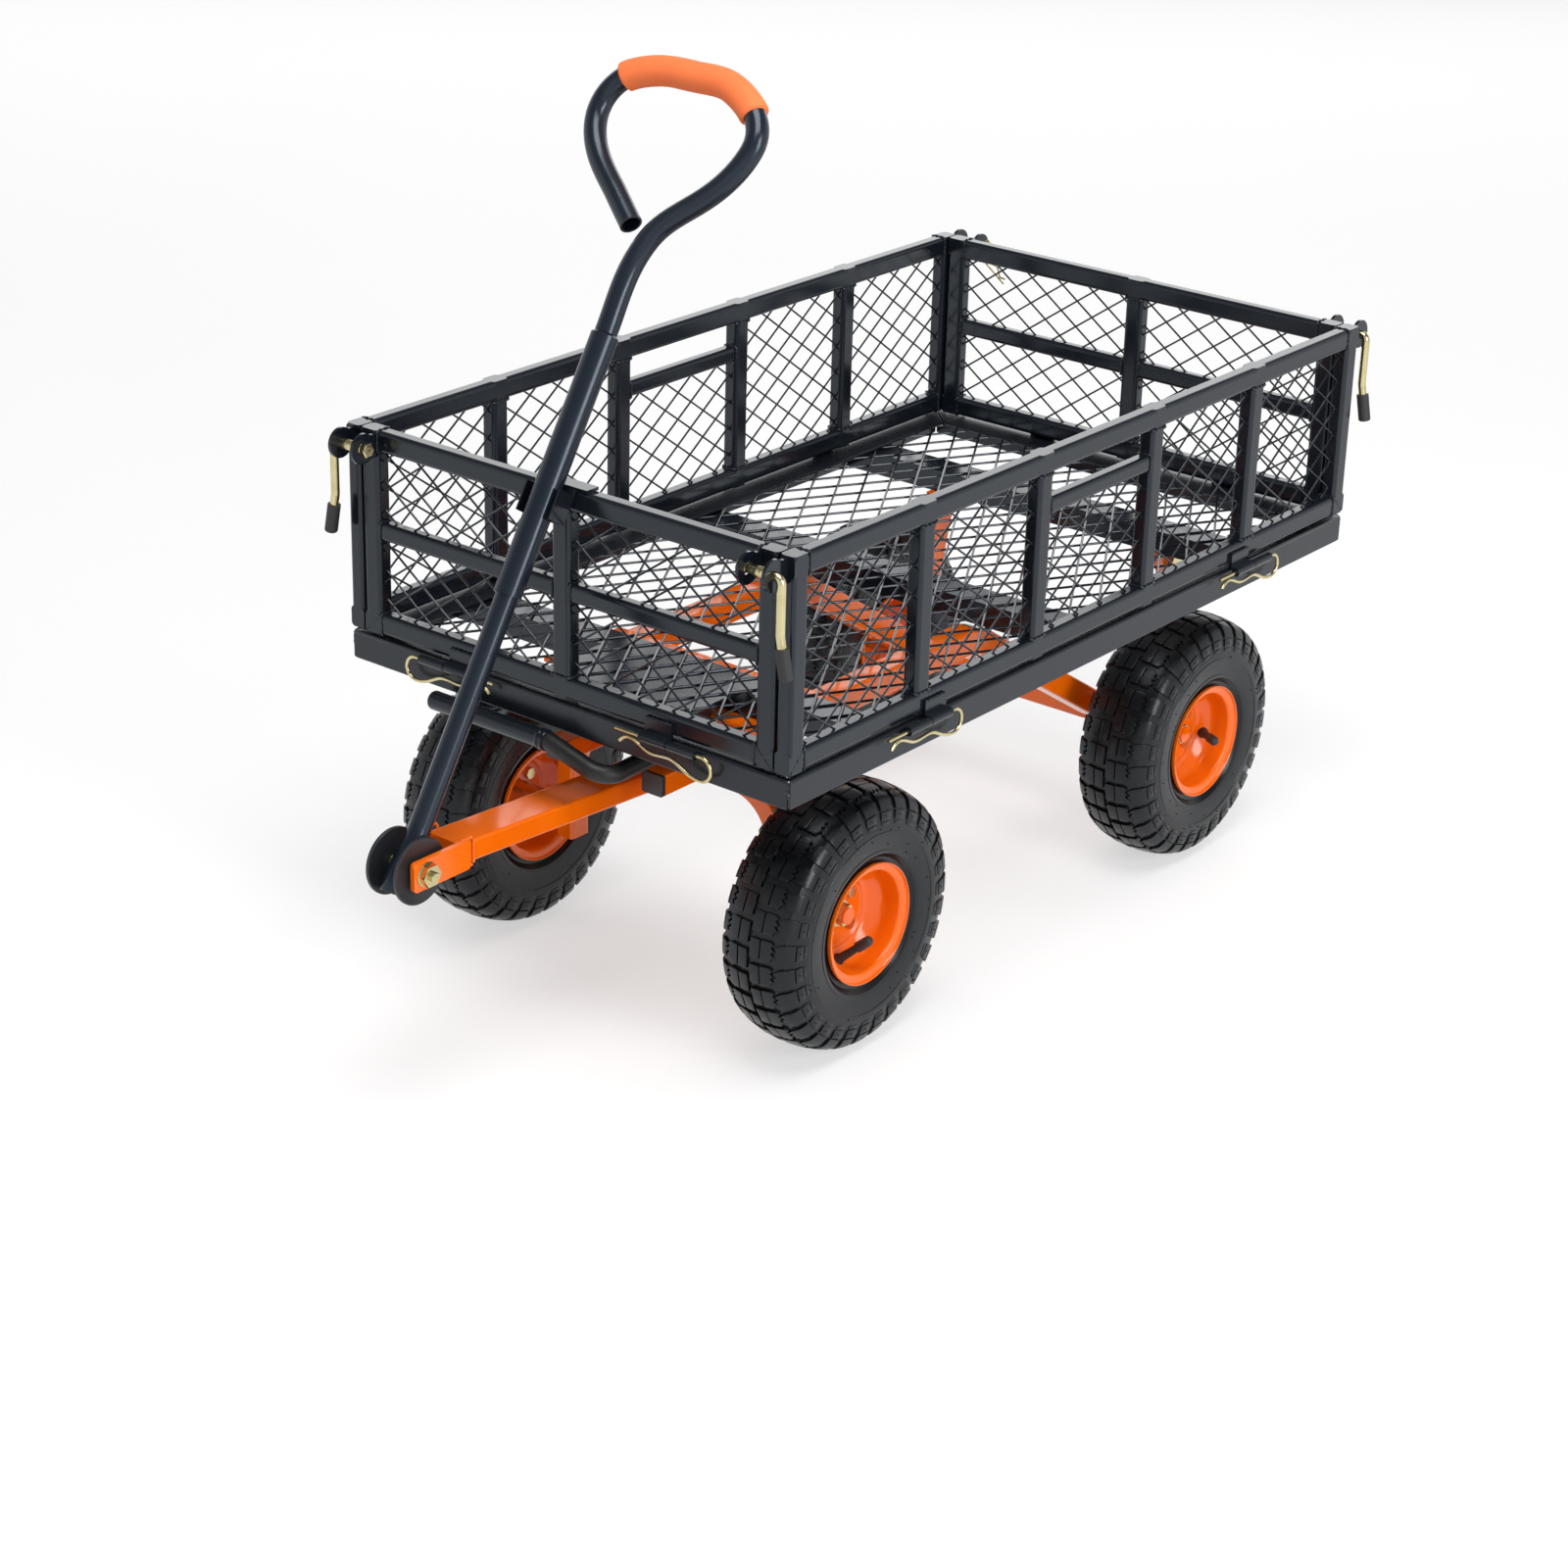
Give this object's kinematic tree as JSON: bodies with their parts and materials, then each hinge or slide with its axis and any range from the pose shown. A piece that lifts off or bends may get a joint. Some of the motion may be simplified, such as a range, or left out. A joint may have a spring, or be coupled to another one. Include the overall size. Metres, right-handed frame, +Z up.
{
  "type": "utility cart",
  "caption": "Four-wheeled garden utility cart with mesh deck, fold-down mesh sides, pneumatic tyres, steered front axle and a pull handle with foam grip.",
  "frame": {"origin": "on the floor, under the centre of the overall box", "axes": "+X towards the pull handle at the front, +Y towards the left side, +Z up"},
  "size_m": [1.142, 0.5346, 0.8462],
  "materials": {
    "frame_paint": "gloss anthracite powder coat",
    "orange_paint": "gloss orange enamel",
    "yellow_zinc": "pale yellow zinc plate",
    "tyre_rubber": "matt rubber",
    "soft_rubber": "matt rubber",
    "black_plastic": "satin moulded plastic",
    "foam_grip": "matt closed-cell foam"
  },
  "bodies": {
    "bed": {"side_beams": "frame_paint", "end_beams": "frame_paint", "cross_members": "frame_paint", "deck_mesh": "frame_paint", "front_deck_plate": "frame_paint", "front_panel_frame": "frame_paint", "front_panel_mesh": "frame_paint", "rear_panel_frame": "frame_paint", "rear_panel_mesh": "frame_paint", "hinge_knuckles": "frame_paint", "hinge_clips": "yellow_zinc", "handle_saddle": "frame_paint", "rear_axle": "orange_paint", "rear_uprights": "orange_paint", "braces": "orange_paint", "chassis_fasteners": "yellow_zinc", "turntable_top_plate": "orange_paint"},
    "left_panel": {"left_panel_frame": "frame_paint", "left_panel_mesh": "frame_paint", "left_latch_barrels": "yellow_zinc"},
    "right_panel": {"right_panel_frame": "frame_paint", "right_panel_mesh": "frame_paint", "right_latch_barrels": "yellow_zinc"},
    "steering": {"front_axle": "orange_paint", "turntable_base": "orange_paint", "steering_rails": "orange_paint", "rail_end_caps": "black_plastic", "kingpin": "yellow_zinc", "tongue": "orange_paint", "fork_plates": "orange_paint", "steering_fasteners": "yellow_zinc"},
    "handle": {"handle_hub": "frame_paint", "handle_lower_tube": "frame_paint", "handle_sleeve": "frame_paint", "handle_loop": "frame_paint", "handle_grip": "foam_grip"},
    "lever": {"release_lever": "frame_paint", "lever_grip": "frame_paint"},
    "front_left_wheel": {"front_left_tyre": "tyre_rubber", "front_left_rim": "orange_paint", "front_left_hub": "yellow_zinc"},
    "front_left_latch": {"front_left_latch_pin": "yellow_zinc", "front_left_latch_tip": "soft_rubber"},
    "front_right_wheel": {"front_right_tyre": "tyre_rubber", "front_right_rim": "orange_paint", "front_right_hub": "yellow_zinc"},
    "front_right_latch": {"front_right_latch_pin": "yellow_zinc", "front_right_latch_tip": "soft_rubber"},
    "rear_left_wheel": {"rear_left_tyre": "tyre_rubber", "rear_left_rim": "orange_paint", "rear_left_hub": "yellow_zinc"},
    "rear_left_latch": {"rear_left_latch_pin": "yellow_zinc", "rear_left_latch_tip": "soft_rubber"},
    "rear_right_wheel": {"rear_right_tyre": "tyre_rubber", "rear_right_rim": "orange_paint", "rear_right_hub": "yellow_zinc"},
    "rear_right_latch": {"rear_right_latch_pin": "yellow_zinc", "rear_right_latch_tip": "soft_rubber"}
  },
  "joints": [
    {"name": "steering_turn", "type": "hinge", "parent": "bed", "child": "steering", "pos_m": [0.199, 0, 0.25], "axis": [0, 0, 1], "range_deg": [-1.5, 1.5]},
    {"name": "handle_pivot", "type": "hinge", "parent": "steering", "child": "handle", "pos_m": [0.541, 0, 0.229], "axis": [0, 1, 0], "range_deg": [0, 130]},
    {"name": "left_panel_fold", "type": "hinge", "parent": "bed", "child": "left_panel", "pos_m": [-0.096, 0.263, 0.317], "axis": [-1, 0, 0], "range_deg": [0, 175]},
    {"name": "right_panel_fold", "type": "hinge", "parent": "bed", "child": "right_panel", "pos_m": [-0.096, -0.263, 0.317], "axis": [1, 0, 0], "range_deg": [0, 175]},
    {"name": "lever_press", "type": "hinge", "parent": "bed", "child": "lever", "pos_m": [0.254, 0.064, 0.271], "axis": [0, 1, 0], "range_deg": [0, 9]},
    {"name": "front_left_wheel_spin", "type": "hinge", "parent": "steering", "child": "front_left_wheel", "pos_m": [0.199, 0.194, 0.124], "axis": [0, 1, 0], "continuous": true},
    {"name": "front_right_wheel_spin", "type": "hinge", "parent": "steering", "child": "front_right_wheel", "pos_m": [0.199, -0.194, 0.124], "axis": [0, 1, 0], "continuous": true},
    {"name": "rear_left_wheel_spin", "type": "hinge", "parent": "bed", "child": "rear_left_wheel", "pos_m": [-0.349, 0.194, 0.124], "axis": [0, 1, 0], "continuous": true},
    {"name": "rear_right_wheel_spin", "type": "hinge", "parent": "bed", "child": "rear_right_wheel", "pos_m": [-0.349, -0.194, 0.124], "axis": [0, 1, 0], "continuous": true},
    {"name": "front_left_latch_swing", "type": "hinge", "parent": "left_panel", "child": "front_left_latch", "pos_m": [0.365, 0.23, 0.502], "axis": [0, -1, 0], "range_deg": [0, 150]},
    {"name": "front_right_latch_swing", "type": "hinge", "parent": "right_panel", "child": "front_right_latch", "pos_m": [0.365, -0.23, 0.502], "axis": [0, -1, 0], "range_deg": [0, 150]},
    {"name": "rear_left_latch_swing", "type": "hinge", "parent": "left_panel", "child": "rear_left_latch", "pos_m": [-0.557, 0.23, 0.502], "axis": [0, 1, 0], "range_deg": [0, 150]},
    {"name": "rear_right_latch_swing", "type": "hinge", "parent": "right_panel", "child": "rear_right_latch", "pos_m": [-0.557, -0.23, 0.502], "axis": [0, 1, 0], "range_deg": [0, 150]}
  ]
}
